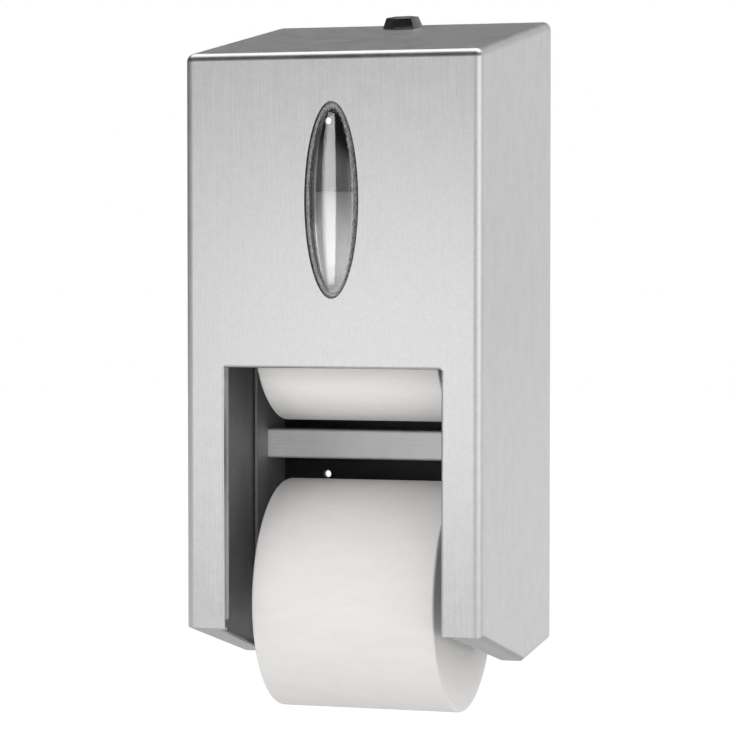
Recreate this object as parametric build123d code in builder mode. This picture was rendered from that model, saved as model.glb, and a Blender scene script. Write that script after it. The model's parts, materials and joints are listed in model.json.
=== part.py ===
# Wall-mounted dispenser for two toilet rolls, one above the other, in a folded
# stainless steel cover that swings down to the front on two studs at its foot.
# Millimetres. X is to the right, -Y is to the front, +Z is up. The wall face of the
# back plate is the plane y = 0, and the origin is the middle of its four wall holes.
import os
from math import cos, radians, sin, tan

from build123d import *

os.makedirs("parts", exist_ok=True)

# Rolls, and the room around them that sets the cover's width and depth
roll_width = 100.0
roll_radius = 62.0
core_radius = 21.5
core_wall = 1.5
paper_edge_radius = 1.2
roll_rear_gap = 8.5
roll_front_gap = 17.5
upper_roll_gap = 7.55
lower_roll_gap = 7.85

# Cover: heights and folds of its sheet
cover_sheet = 1.2
cover_rear_y = -5.0
front_top_z = 128.3
knee_y = -64.0
knee_z = -194.0
front_foot_rise = 23.1
rear_foot_rise = 5.0
top_angle = 9.26
fold_radius = 4.5
foot_fold_radius = 2.5
sharp_fold_radius = 1.4
rear_corner_radius = 3.0
underside_rear_y = -27.0
underside_cut_rise = 5.0

# Roll opening in the front and the underside of the cover
opening_side_gap = 8.6
opening_top_z = -34.5
return_depth = 7.0
flange_front_relief = 4.5
flange_knee_relief = 9.0

# Window: an oval hole with a clear domed lens pushed through from inside
window_width = 29.2
window_height = 101.6
window_z = 52.2
lens_gap = 0.5
lens_wall = 1.6
lens_proud = 3.6
lens_flange_rim = 4.0
gasket_thickness = 0.8
retainer_sheet = 1.0
retainer_rim = 5.0
lens_stud_radius = 1.5
lens_stud_length = 8.0
lens_stud_angle = 40.0
push_nut_radius = 3.6
push_nut_thickness = 0.8

# Cam lock at the back of the cover's top
lock_y = -22.0
lock_head_radius = 11.3
lock_head_top_radius = 9.0
lock_head_height = 6.0
lock_head_turn = 17.0
lock_stem_radius = 5.0
lock_stem_length = 11.0
lock_barrel_radius = 3.0
lock_barrel_head_radius = 5.0
lock_barrel_head_height = 1.4
lock_nut_across_flats = 14.0
lock_nut_thickness = 4.0
lock_washer_radius = 8.0
lock_washer_thickness = 0.8
key_slot_length = 6.0
key_slot_width = 1.2
key_slot_depth = 3.0
cam_thickness = 1.6
cam_hub_radius = 5.0
cam_reach = 15.7
cam_tip_width = 7.0
cam_screw_radius = 1.5
cam_screw_length = 5.0
cam_screw_head_radius = 2.8
cam_screw_head_height = 1.5

# Back plate: a folded tray that the wall screws hold
plate_sheet = 1.5
plate_side_gap = 1.5
plate_top_drop = 11.3
plate_foot_rise = 2.0
plate_side_depth = 50.0
plate_corner_radius = 6.0
plate_fold_radius = 3.0
wall_hole_spacing_x = 100.0
wall_hole_spacing_z = 200.0
wall_hole_radius = 1.9

# Latch keeper on the back plate
keeper_width = 24.0
keeper_sheet = 1.5
keeper_leg = 24.0
keeper_lip = 8.0
keeper_cam_gap = 0.9
keeper_rivet_spacing = 14.0
keeper_rivet_rise = 8.0

# Hinge and stop studs
hinge_y = -14.0
hinge_rise = 11.0
hinge_stud_radius = 3.5
hinge_stud_length = 7.5
bush_wall = 1.5
bush_rim = 2.0
bush_flange = 1.0
stop_stud_radius = 2.5
stop_stud_length = 6.0
stop_reach = 22.0
stop_slot_clearance = 0.7
cover_travel = 75.0

# Black liner on the back plate
liner_thickness = 2.0
liner_side_gap = 0.6
liner_top_drop = 30.0
liner_foot_rise = 3.0
liner_hole_radius = 2.2
liner_corner_radius = 2.0
liner_pin_x = 34.0
liner_pin_inset = 9.0
liner_pin_radius = 2.0
liner_pin_head_radius = 4.0
liner_pin_head_height = 1.6

# Cross bar between the two rolls
bar_front_y = -33.0
bar_height = 16.3
bar_z = -81.2
bar_depth = 12.0
bar_sheet = 1.5
bar_end_gap = 0.2
bar_rivet_spacing = 6.5

# Rivets, and the small screws of the roll brackets
rivet_radius = 1.6
rivet_head_radius = 2.8
rivet_head_height = 0.9
screw_radius = 1.9
screw_head_radius = 3.5
screw_head_height = 2.0
blind_skin = 0.3

# Plugs in the ends of each roll
plug_depth = 14.0
plug_wall = 2.0
plug_rim_radius = 25.0
plug_rim_thickness = 1.6
journal_radius = 5.0
journal_length = 11.0
plug_chamfer = 1.0

# Roll brackets
bracket_thickness = 4.0
bracket_side_gap = 2.4
bracket_root_height = 34.0
bracket_tip_height = 24.0
bracket_foot_width = 14.0
bracket_wall_gap = 7.8
bracket_foot_thickness = 3.0
bracket_nose = 12.0
bracket_nose_radius = 6.0
bracket_foot_radius = 2.0
bracket_screw_spacing = 22.0
seat_clearance = 0.08

# Clearances
pin_clearance = 0.05
hole_clearance = 0.2

# Lengths used only to cut: how far the cover's block runs on behind the cover, the
# side of a sketch that is wider than the whole dispenser, and a cut through one sheet
block_overrun = 15.0
cut_size = 900.0
sheet_cut = 5.0

# Places worked out from the sizes above: across the width, from the rolls outward
roll_end_x = roll_width / 2
half_opening = roll_end_x + opening_side_gap
bracket_inner_x = roll_end_x + plug_rim_thickness + bracket_side_gap
bracket_outer_x = bracket_inner_x + bracket_thickness
plate_inner_x = bracket_inner_x + bracket_foot_width + bracket_wall_gap
plate_outer_x = plate_inner_x + plate_sheet
cover_inner_x = plate_outer_x + plate_side_gap
half_cover = cover_inner_x + cover_sheet
bar_half_length = plate_inner_x - bar_end_gap
sides = {"left": -1, "right": 1}

# From the wall to the front
liner_front_y = -plate_sheet - liner_thickness
foot_front_y = liner_front_y - bracket_foot_thickness
roll_y = liner_front_y - roll_rear_gap - roll_radius
cover_front_y = roll_y - roll_radius - roll_front_gap
panel_inner_y = cover_front_y + cover_sheet

# Heights
upper_roll_z = bar_z + bar_height / 2 + upper_roll_gap + roll_radius
lower_roll_z = bar_z - bar_height / 2 - lower_roll_gap - roll_radius
front_bottom_z = knee_z + front_foot_rise
rear_bottom_z = knee_z + rear_foot_rise
underside_cut_z = rear_bottom_z + underside_cut_rise
hinge_z = rear_bottom_z + hinge_rise


def top_z(y):
    """Height of the cover's outer top surface at a given y."""
    return front_top_z + (y - cover_front_y) * tan(radians(top_angle))


def across_x(y, z, x=0.0):
    """Plane at (x, y, z) whose normal is +X and whose own x runs along +Y."""
    return Plane(origin=(x, y, z), x_dir=(0, 1, 0), z_dir=(1, 0, 0))


def facing_front(y, z=0.0):
    """Plane at (0, y, z) whose normal points to the front, with own y along +Z."""
    return Plane(origin=(0, y, z), x_dir=(1, 0, 0), z_dir=(0, -1, 0))


def lock_plane(height):
    """Plane square to the lock's axis at a height above the cover's outer top surface."""
    tilt = radians(top_angle)
    return Plane(
        origin=(0, lock_y - height * sin(tilt), top_z(lock_y) + height * cos(tilt)),
        x_dir=(1, 0, 0),
        z_dir=(0, -sin(tilt), cos(tilt)),
    )


# Cover shell
def cover_block(inset):
    """Solid of the cover's outline, drawn in by inset and open-ended behind the cover."""
    ahead_y = cover_front_y - block_overrun
    behind_y = cover_rear_y + block_overrun
    front_slope = (knee_z - front_bottom_z) / (knee_y - cover_front_y)
    rear_slope = (rear_bottom_z - knee_z) / (cover_rear_y - knee_y)
    above_z = top_z(behind_y) + block_overrun
    # Front, sides and top, with the foot left long
    with BuildPart() as body:
        with BuildSketch(Plane.YZ):
            with BuildLine():
                Polyline(
                    (cover_front_y, front_top_z),
                    (behind_y, top_z(behind_y)),
                    (behind_y, knee_z - block_overrun),
                    (cover_front_y, knee_z - block_overrun),
                    close=True,
                )
            make_face()
            if inset:
                offset(amount=-inset, kind=Kind.INTERSECTION, mode=Mode.REPLACE)
        extrude(amount=half_cover - inset, both=True)
        outline = body.faces().filter_by(Axis.X).edges()
        folded = outline.sort_by(Axis.Y)[:-2].sort_by(Axis.Z)[2:]
        front_top = body.edges().filter_by(Axis.X).group_by(Axis.Y)[0].sort_by(Axis.Z)[-1]
        fillet(folded + [front_top], fold_radius - inset)
    # The underside, whose edges are folded more sharply, with front and top left long
    with BuildPart() as foot:
        with BuildSketch(Plane.YZ):
            with BuildLine():
                Polyline(
                    (ahead_y, above_z),
                    (behind_y, above_z),
                    (behind_y, rear_bottom_z + rear_slope * block_overrun),
                    (knee_y, knee_z),
                    (ahead_y, front_bottom_z - front_slope * block_overrun),
                    close=True,
                )
            make_face()
            if inset:
                offset(amount=-inset, kind=Kind.INTERSECTION, mode=Mode.REPLACE)
        extrude(amount=half_cover - inset, both=True)
        fillet(foot.faces().filter_by(Axis.X).edges().sort_by(Axis.Z)[:4], foot_fold_radius - inset)
    with BuildPart() as block:
        add(body.part)
        add(foot.part, mode=Mode.INTERSECT)
    return block.part


with BuildPart() as cover_shell:
    add(cover_block(0.0))
    add(cover_block(cover_sheet), mode=Mode.SUBTRACT)
    # The back is open
    with BuildSketch(Plane.XZ.offset(-cover_rear_y)):
        Rectangle(cut_size, cut_size)
    extrude(amount=-cut_size, mode=Mode.SUBTRACT)
    # Roll opening through the flat of the front panel
    return_bottom_z = front_bottom_z + fold_radius
    return_middle_z = (opening_top_z + return_bottom_z) / 2
    return_length = opening_top_z - return_bottom_z
    with BuildSketch(facing_front(panel_inner_y, return_middle_z)):
        Rectangle(2 * half_opening, return_length)
    extrude(amount=sheet_cut, both=True, mode=Mode.SUBTRACT)
    # Returns folded back along the two sides and the top of the opening
    with BuildSketch(facing_front(cover_front_y + return_depth)):
        for side in sides.values():
            with Locations((side * (half_opening + cover_sheet / 2), return_middle_z)):
                Rectangle(cover_sheet, return_length)
        with Locations((0, opening_top_z + cover_sheet / 2)):
            Rectangle(2 * (half_opening + cover_sheet), cover_sheet)
    extrude(amount=return_depth - cover_sheet)
    # The front's edges round the opening, rounded over these folds
    fold_middle_y = cover_front_y + sharp_fold_radius
    for side in sides.values():
        with BuildSketch(Plane.XY.offset(front_bottom_z)):
            with Locations((side * half_opening, cover_front_y)):
                Rectangle(2 * sharp_fold_radius, 2 * sharp_fold_radius)
            with Locations((side * (half_opening + sharp_fold_radius), fold_middle_y)):
                Circle(sharp_fold_radius, mode=Mode.SUBTRACT)
        extrude(amount=opening_top_z - front_bottom_z, mode=Mode.SUBTRACT)
    with BuildSketch(Plane.YZ):
        with Locations((cover_front_y, opening_top_z)):
            Rectangle(2 * sharp_fold_radius, 2 * sharp_fold_radius)
        with Locations((fold_middle_y, opening_top_z + sharp_fold_radius)):
            Circle(sharp_fold_radius, mode=Mode.SUBTRACT)
    extrude(amount=half_opening, both=True, mode=Mode.SUBTRACT)
    # The opening runs on through the lower fold at the same width, and is wider through
    # the underside, whose flanges narrow towards the knee
    flange_front_x = half_opening + flange_front_relief
    flange_knee_x = half_opening + flange_knee_relief
    lower_edge = [
        (half_opening, cover_front_y - sheet_cut),
        (half_opening, cover_front_y + fold_radius),
        (flange_front_x, cover_front_y + fold_radius),
        (flange_knee_x, knee_y),
        (flange_knee_x, cover_rear_y),
    ]
    with BuildSketch(Plane.XY.offset(return_bottom_z)):
        with BuildLine():
            Polyline(*lower_edge, *[(-x, y) for x, y in reversed(lower_edge)], close=True)
        make_face()
    extrude(amount=-cut_size, mode=Mode.SUBTRACT)
    # Window hole
    with BuildSketch(facing_front(panel_inner_y, window_z)):
        Ellipse(window_width / 2, window_height / 2)
    extrude(amount=sheet_cut, both=True, mode=Mode.SUBTRACT)
    # Hole for the lock's stem
    with BuildSketch(lock_plane(0)):
        Circle(lock_stem_radius + hole_clearance)
    extrude(amount=sheet_cut, both=True, mode=Mode.SUBTRACT)
    # The underside flanges stop short of the hinge, and the lower rear corners are
    # rounded, so that both turn clear of the back plate and the wall
    flange_cut_y = (underside_rear_y + cover_rear_y) / 2
    with BuildSketch(Plane.XY.offset(underside_cut_z)):
        with Locations((0, flange_cut_y + cover_sheet)):
            Rectangle(2 * cover_inner_x, cover_rear_y - underside_rear_y + 2 * cover_sheet)
    extrude(amount=-cut_size, mode=Mode.SUBTRACT)
    with BuildSketch(Plane.YZ):
        with Locations((cover_rear_y, rear_bottom_z)):
            Rectangle(2 * rear_corner_radius, 2 * rear_corner_radius)
        with Locations((cover_rear_y - rear_corner_radius, rear_bottom_z + rear_corner_radius)):
            Circle(rear_corner_radius, mode=Mode.SUBTRACT)
    extrude(amount=cut_size, both=True, mode=Mode.SUBTRACT)
cover_shell.part.label = "cover_shell"
export_step(cover_shell.part, "parts/cover_shell.step")


# Window: gasket, lens, retainer, and the studs and push-on nuts that hold them
lens_flange_y = panel_inner_y + gasket_thickness
lens_back_y = lens_flange_y + lens_wall
retainer_back_y = lens_back_y + retainer_sheet
lens_half_width = window_width / 2 - lens_gap
lens_half_height = window_height / 2 - lens_gap
flange_half_width = lens_half_width + lens_flange_rim
flange_half_height = lens_half_height + lens_flange_rim
retainer_half_width = flange_half_width + retainer_rim
retainer_half_height = flange_half_height + retainer_rim
stud_half_width = (flange_half_width + retainer_half_width) / 2
stud_half_height = (flange_half_height + retainer_half_height) / 2
lens_stud_places = [
    (
        across * stud_half_width * cos(radians(lens_stud_angle)),
        up * stud_half_height * sin(radians(lens_stud_angle)),
    )
    for across in (-1, 1)
    for up in (-1, 1)
]


def dome(half_width, half_height, depth, base_y):
    """Half-buried ellipsoid about the window's middle, bulging to the front of base_y."""
    ball = scale(Sphere(1.0, mode=Mode.PRIVATE), by=(half_width, depth, half_height), mode=Mode.PRIVATE)
    return Pos(0, base_y, window_z) * ball


with BuildPart() as window_lens:
    add(dome(lens_half_width, lens_half_height, lens_flange_y - (cover_front_y - lens_proud), lens_flange_y))
    with BuildSketch(facing_front(lens_flange_y, window_z)):
        Rectangle(cut_size, cut_size)
    extrude(amount=-cut_size, mode=Mode.SUBTRACT)
    with BuildSketch(facing_front(lens_back_y, window_z)):
        Ellipse(flange_half_width, flange_half_height)
    extrude(amount=lens_wall)
    add(
        dome(
            lens_half_width - lens_wall,
            lens_half_height - lens_wall,
            lens_back_y - (cover_front_y - lens_proud + lens_wall),
            lens_back_y,
        ),
        mode=Mode.SUBTRACT,
    )
window_lens.part.label = "window_lens"
export_step(window_lens.part, "parts/window_lens.step")

with BuildPart() as lens_gasket:
    with BuildSketch(facing_front(lens_flange_y, window_z)):
        Ellipse(flange_half_width, flange_half_height)
        Ellipse(window_width / 2, window_height / 2, mode=Mode.SUBTRACT)
    extrude(amount=gasket_thickness)
lens_gasket.part.label = "lens_gasket"
export_step(lens_gasket.part, "parts/lens_gasket.step")

with BuildPart() as lens_retainer:
    with BuildSketch(facing_front(retainer_back_y, window_z)):
        Ellipse(retainer_half_width, retainer_half_height)
        Ellipse(lens_half_width, lens_half_height, mode=Mode.SUBTRACT)
        with Locations(*lens_stud_places):
            Circle(lens_stud_radius + hole_clearance, mode=Mode.SUBTRACT)
    extrude(amount=retainer_sheet)
lens_retainer.part.label = "lens_retainer"
export_step(lens_retainer.part, "parts/lens_retainer.step")

with BuildPart() as lens_studs:
    with BuildSketch(facing_front(panel_inner_y, window_z)):
        with Locations(*lens_stud_places):
            Circle(lens_stud_radius)
    extrude(amount=-lens_stud_length)
lens_studs.part.label = "lens_studs"
export_step(lens_studs.part, "parts/lens_studs.step")

with BuildPart() as lens_push_nuts:
    with BuildSketch(facing_front(retainer_back_y + push_nut_thickness, window_z)):
        with Locations(*lens_stud_places):
            Circle(push_nut_radius)
            Circle(lens_stud_radius, mode=Mode.SUBTRACT)
    extrude(amount=push_nut_thickness)
lens_push_nuts.part.label = "lens_push_nuts"
export_step(lens_push_nuts.part, "parts/lens_push_nuts.step")


# Lock: its axis stands square to the sloping top, and heights count from the outer surface
washer_top = -cover_sheet
nut_top = washer_top - lock_washer_thickness
cam_top = -lock_stem_length - hole_clearance
cam_bottom = cam_top - cam_thickness

with BuildPart() as lock_housing:
    with BuildSketch(lock_plane(0)):
        RegularPolygon(lock_head_radius, 6, rotation=lock_head_turn)
    with BuildSketch(lock_plane(lock_head_height)):
        RegularPolygon(lock_head_top_radius, 6, rotation=lock_head_turn)
    loft()
    with BuildSketch(lock_plane(0)):
        Circle(lock_stem_radius)
    extrude(amount=-lock_stem_length)
    with BuildSketch(lock_plane(lock_head_height)):
        Circle(lock_barrel_radius + pin_clearance)
    extrude(amount=-2 * (lock_head_height + lock_stem_length), mode=Mode.SUBTRACT)
    with BuildSketch(lock_plane(lock_head_height)):
        Circle(lock_barrel_head_radius + pin_clearance)
    extrude(amount=-lock_barrel_head_height - pin_clearance, mode=Mode.SUBTRACT)
lock_housing.part.label = "lock_housing"
export_step(lock_housing.part, "parts/lock_housing.step")

with BuildPart() as lock_washer:
    with BuildSketch(lock_plane(washer_top)):
        Circle(lock_washer_radius)
        Circle(lock_stem_radius + hole_clearance, mode=Mode.SUBTRACT)
    extrude(amount=-lock_washer_thickness)
lock_washer.part.label = "lock_washer"
export_step(lock_washer.part, "parts/lock_washer.step")

with BuildPart() as lock_nut:
    with BuildSketch(lock_plane(nut_top)):
        RegularPolygon(lock_nut_across_flats / 2, 6, major_radius=False)
        Circle(lock_stem_radius, mode=Mode.SUBTRACT)
    extrude(amount=-lock_nut_thickness)
lock_nut.part.label = "lock_nut"
export_step(lock_nut.part, "parts/lock_nut.step")

with BuildPart() as lock_barrel:
    with BuildSketch(lock_plane(lock_head_height)):
        Circle(lock_barrel_head_radius)
    extrude(amount=-lock_barrel_head_height)
    with BuildSketch(lock_plane(lock_head_height)):
        Circle(lock_barrel_radius)
    extrude(amount=-lock_head_height + cam_bottom)
    with BuildSketch(lock_plane(lock_head_height)):
        Rectangle(key_slot_length, key_slot_width)
    extrude(amount=-key_slot_depth, mode=Mode.SUBTRACT)
    with BuildSketch(lock_plane(cam_bottom)):
        Circle(cam_screw_radius)
    extrude(amount=cam_screw_length, mode=Mode.SUBTRACT)
lock_barrel.part.label = "lock_barrel"
export_step(lock_barrel.part, "parts/lock_barrel.step")

with BuildPart() as lock_cam:
    with BuildSketch(lock_plane(cam_top)):
        Circle(cam_hub_radius)
        with Locations((cam_reach / 2, 0)):
            Rectangle(cam_reach, cam_tip_width)
        Circle(lock_barrel_radius, mode=Mode.SUBTRACT)
    extrude(amount=-cam_thickness)
lock_cam.part.label = "lock_cam"
export_step(lock_cam.part, "parts/lock_cam.step")

with BuildPart() as cam_screw:
    with BuildSketch(lock_plane(cam_bottom)):
        Circle(cam_screw_radius)
    extrude(amount=cam_screw_length)
    with BuildSketch(lock_plane(cam_bottom)):
        Circle(cam_screw_head_radius)
    extrude(amount=-cam_screw_head_height)
cam_screw.part.label = "cam_screw"
export_step(cam_screw.part, "parts/cam_screw.step")


# Hinge studs and stop studs, welded to the cover's sides; the sides stay plain outside
def studs_inward(y, z, radius, length):
    """A pair of round studs that stand inward from the two sides of the cover."""
    with BuildPart() as pair:
        for side in sides.values():
            with BuildSketch(across_x(y, z, side * cover_inner_x)):
                Circle(radius)
            extrude(amount=-side * length)
    return pair.part


with BuildPart() as hinge_studs:
    add(studs_inward(hinge_y, hinge_z, hinge_stud_radius, hinge_stud_length))
hinge_studs.part.label = "hinge_studs"
export_step(hinge_studs.part, "parts/hinge_studs.step")

with BuildPart() as stop_studs:
    add(studs_inward(hinge_y, hinge_z + stop_reach, stop_stud_radius, stop_stud_length))
stop_studs.part.label = "stop_studs"
export_step(stop_studs.part, "parts/stop_studs.step")

bush_bore_radius = hinge_stud_radius + pin_clearance
bush_radius = bush_bore_radius + bush_wall
with BuildPart() as hinge_bushes:
    for side in sides.values():
        with BuildSketch(across_x(hinge_y, hinge_z, side * plate_outer_x)):
            Circle(bush_radius)
            Circle(bush_bore_radius, mode=Mode.SUBTRACT)
        extrude(amount=-side * (plate_sheet + bush_flange))
        with BuildSketch(across_x(hinge_y, hinge_z, side * plate_inner_x)):
            Circle(bush_radius + bush_rim)
            Circle(bush_bore_radius, mode=Mode.SUBTRACT)
        extrude(amount=-side * bush_flange)
hinge_bushes.part.label = "hinge_bushes"
export_step(hinge_bushes.part, "parts/hinge_bushes.step")


# Back plate
plate_top_z = top_z(0) - plate_top_drop
plate_bottom_z = rear_bottom_z + plate_foot_rise
liner_top_z = plate_top_z - liner_top_drop
liner_bottom_z = plate_bottom_z + liner_foot_rise
wall_hole_places = [
    (across * wall_hole_spacing_x / 2, up * wall_hole_spacing_z / 2) for across in (-1, 1) for up in (-1, 1)
]
bar_rivet_y = bar_front_y + (bar_depth + bar_sheet) / 2
bar_rivet_places = [(0, up * bar_rivet_spacing / 2) for up in (-1, 1)]
lip_top_z = lock_plane(cam_top).origin.Z + cam_reach * sin(radians(top_angle)) + keeper_cam_gap + keeper_sheet
keeper_foot_z = plate_top_z - keeper_leg
keeper_rivet_places = [(across * keeper_rivet_spacing / 2, keeper_foot_z + keeper_rivet_rise) for across in (-1, 1)]
liner_half_width = plate_inner_x - liner_side_gap
liner_pin_places = [
    (across * liner_pin_x, z)
    for across in (-1, 1)
    for z in (liner_bottom_z + liner_pin_inset, liner_top_z - liner_pin_inset)
]
bracket_screw_x = bracket_outer_x + (bracket_foot_width - bracket_thickness) / 2
bracket_screw_places = [
    (across * bracket_screw_x, roll_z + up * bracket_screw_spacing / 2)
    for across in (-1, 1)
    for roll_z in (lower_roll_z, upper_roll_z)
    for up in (-1, 1)
]

with BuildPart() as back_plate:
    with BuildSketch(facing_front(0, (plate_top_z + plate_bottom_z) / 2)):
        Rectangle(2 * plate_outer_x, plate_top_z - plate_bottom_z)
    extrude(amount=plate_side_depth)
    fillet(back_plate.edges().filter_by(Axis.Z).group_by(Axis.Y)[-1], plate_fold_radius)
    fillet(back_plate.edges().filter_by(Axis.X).group_by(Axis.Y)[0], plate_corner_radius)
    with BuildSketch(facing_front(-plate_sheet, (plate_top_z + plate_bottom_z) / 2)):
        Rectangle(2 * plate_inner_x, 2 * (plate_top_z - plate_bottom_z))
    extrude(amount=plate_side_depth, mode=Mode.SUBTRACT)
    # Holes for the wall screws, right through
    with BuildSketch(facing_front(0)):
        with Locations(*wall_hole_places):
            Circle(wall_hole_radius)
    extrude(amount=plate_sheet, mode=Mode.SUBTRACT)
    # Holes for rivets, pins and screws, which stop a skin short of the wall face
    with BuildSketch(facing_front(-blind_skin)):
        with Locations(*keeper_rivet_places):
            Circle(rivet_radius)
        with Locations(*liner_pin_places):
            Circle(liner_pin_radius)
        with Locations(*bracket_screw_places):
            Circle(screw_radius)
    extrude(amount=plate_sheet, mode=Mode.SUBTRACT)
    # Bush holes and the curved slots of the stop studs in the two sides
    for side in sides.values():
        with BuildSketch(across_x(hinge_y, hinge_z, side * plate_inner_x)):
            Circle(bush_radius)
            SlotArc(
                Edge.make_circle(stop_reach, start_angle=90, end_angle=90 + cover_travel),
                2 * (stop_stud_radius + stop_slot_clearance),
            )
        extrude(amount=side * plate_sheet, mode=Mode.SUBTRACT)
        with BuildSketch(across_x(bar_rivet_y, bar_z, side * plate_inner_x)):
            with Locations(*bar_rivet_places):
                Circle(rivet_radius)
        extrude(amount=side * plate_sheet, mode=Mode.SUBTRACT)
back_plate.part.label = "back_plate"
export_step(back_plate.part, "parts/back_plate.step")

with BuildPart() as latch_keeper:
    with BuildSketch(facing_front(-plate_sheet, (keeper_foot_z + lip_top_z) / 2)):
        Rectangle(keeper_width, lip_top_z - keeper_foot_z)
    extrude(amount=keeper_lip)
    with BuildSketch(facing_front(-plate_sheet - keeper_sheet, (keeper_foot_z + lip_top_z) / 2 - keeper_sheet)):
        Rectangle(2 * keeper_width, lip_top_z - keeper_foot_z)
    extrude(amount=keeper_lip, mode=Mode.SUBTRACT)
    with BuildSketch(facing_front(-plate_sheet)):
        with Locations(*keeper_rivet_places):
            Circle(rivet_radius)
    extrude(amount=keeper_sheet, mode=Mode.SUBTRACT)
latch_keeper.part.label = "latch_keeper"
export_step(latch_keeper.part, "parts/latch_keeper.step")

with BuildPart() as keeper_rivets:
    with BuildSketch(facing_front(-blind_skin)):
        with Locations(*keeper_rivet_places):
            Circle(rivet_radius)
    extrude(amount=plate_sheet + keeper_sheet - blind_skin)
    with BuildSketch(facing_front(-plate_sheet - keeper_sheet)):
        with Locations(*keeper_rivet_places):
            Circle(rivet_head_radius)
    extrude(amount=rivet_head_height)
keeper_rivets.part.label = "keeper_rivets"
export_step(keeper_rivets.part, "parts/keeper_rivets.step")


# Liner, with a slightly wider hole over each wall hole
with BuildPart() as back_liner:
    with BuildSketch(facing_front(-plate_sheet, (liner_top_z + liner_bottom_z) / 2)):
        Rectangle(2 * liner_half_width, liner_top_z - liner_bottom_z)
    extrude(amount=liner_thickness)
    fillet(back_liner.edges().filter_by(Axis.Y), liner_corner_radius)
    with BuildSketch(facing_front(-plate_sheet)):
        with Locations(*wall_hole_places):
            Circle(liner_hole_radius)
        with Locations(*liner_pin_places):
            Circle(liner_pin_radius)
        with Locations(*bracket_screw_places):
            Circle(screw_radius)
    extrude(amount=liner_thickness, mode=Mode.SUBTRACT)
back_liner.part.label = "back_liner"
export_step(back_liner.part, "parts/back_liner.step")

with BuildPart() as liner_pins:
    with BuildSketch(facing_front(-blind_skin)):
        with Locations(*liner_pin_places):
            Circle(liner_pin_radius)
    extrude(amount=plate_sheet + liner_thickness - blind_skin)
    with BuildSketch(facing_front(liner_front_y)):
        with Locations(*liner_pin_places):
            Circle(liner_pin_head_radius)
    extrude(amount=liner_pin_head_height)
liner_pins.part.label = "liner_pins"
export_step(liner_pins.part, "parts/liner_pins.step")


# Cross bar: a channel open to the back, with closed ends that are riveted to the plate's sides
with BuildPart() as cross_bar:
    with BuildSketch(facing_front(bar_front_y + bar_depth, bar_z)):
        Rectangle(2 * bar_half_length, bar_height)
    extrude(amount=bar_depth)
    fillet(cross_bar.edges().filter_by(Axis.X).group_by(Axis.Y)[0], bar_sheet)
    with BuildSketch(facing_front(bar_front_y + bar_depth, bar_z)):
        Rectangle(2 * (bar_half_length - bar_sheet), bar_height - 2 * bar_sheet)
    extrude(amount=bar_depth - bar_sheet, mode=Mode.SUBTRACT)
    for side in sides.values():
        with BuildSketch(across_x(bar_rivet_y, bar_z, side * (bar_half_length - bar_sheet))):
            with Locations(*bar_rivet_places):
                Circle(rivet_radius)
        extrude(amount=side * bar_sheet, mode=Mode.SUBTRACT)
cross_bar.part.label = "cross_bar"
export_step(cross_bar.part, "parts/cross_bar.step")

with BuildPart() as bar_rivets:
    for side in sides.values():
        inner_end_x = bar_half_length - bar_sheet - rivet_head_height
        with BuildSketch(across_x(bar_rivet_y, bar_z, side * inner_end_x)):
            with Locations(*bar_rivet_places):
                Circle(rivet_head_radius)
        extrude(amount=side * rivet_head_height)
        with BuildSketch(across_x(bar_rivet_y, bar_z, side * inner_end_x)):
            with Locations(*bar_rivet_places):
                Circle(rivet_radius)
        extrude(amount=side * (plate_outer_x - inner_end_x))
        with BuildSketch(across_x(bar_rivet_y, bar_z, side * plate_outer_x)):
            with Locations(*bar_rivet_places):
                Circle(rivet_head_radius)
        extrude(amount=side * rivet_head_height)
bar_rivets.part.label = "bar_rivets"
export_step(bar_rivets.part, "parts/bar_rivets.step")


# Roll brackets
def bracket(side, roll_z):
    """Moulded arm whose open-topped seat carries one journal of a roll."""
    nose_y = roll_y - bracket_nose
    with BuildPart() as arm:
        with BuildSketch(across_x(0, roll_z, side * bracket_inner_x)):
            with BuildLine():
                Polyline(
                    (liner_front_y, -bracket_root_height / 2),
                    (nose_y, -bracket_tip_height / 2),
                    (nose_y, bracket_tip_height / 2),
                    (liner_front_y, bracket_root_height / 2),
                    close=True,
                )
            make_face()
        extrude(amount=side * bracket_thickness)
        fillet(arm.edges().filter_by(Axis.X).group_by(Axis.Y)[0], bracket_nose_radius)
        with BuildSketch(facing_front(liner_front_y, roll_z)):
            with Locations((side * (bracket_inner_x + bracket_foot_width / 2), 0)):
                RectangleRounded(bracket_foot_width, bracket_root_height, bracket_foot_radius)
        extrude(amount=bracket_foot_thickness)
        # Seat, open at the top so that a roll drops in
        with BuildSketch(across_x(roll_y, roll_z, side * bracket_inner_x)):
            Circle(journal_radius + seat_clearance)
            with Locations((0, bracket_root_height / 2)):
                Rectangle(2 * (journal_radius + seat_clearance), bracket_root_height)
        extrude(amount=side * bracket_thickness, mode=Mode.SUBTRACT)
        with BuildSketch(facing_front(liner_front_y)):
            with Locations(*bracket_screw_places):
                Circle(screw_radius)
        extrude(amount=bracket_foot_thickness, mode=Mode.SUBTRACT)
    return arm.part


rolls = {"upper": upper_roll_z, "lower": lower_roll_z}
for roll_name, roll_z in rolls.items():
    for side_name, side in sides.items():
        with BuildPart() as roll_bracket:
            add(bracket(side, roll_z))
        roll_bracket.part.label = f"{roll_name}_{side_name}_bracket"
        export_step(roll_bracket.part, f"parts/{roll_name}_{side_name}_bracket.step")

with BuildPart() as bracket_screws:
    with BuildSketch(facing_front(-blind_skin)):
        with Locations(*bracket_screw_places):
            Circle(screw_radius)
    extrude(amount=-blind_skin - foot_front_y)
    with BuildSketch(facing_front(foot_front_y)):
        with Locations(*bracket_screw_places):
            Circle(screw_head_radius)
    extrude(amount=screw_head_height)
bracket_screws.part.label = "bracket_screws"
export_step(bracket_screws.part, "parts/bracket_screws.step")


# Rolls: paper, core, and a plug with a journal pressed into each end of the core
core_bore_radius = core_radius - core_wall


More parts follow.
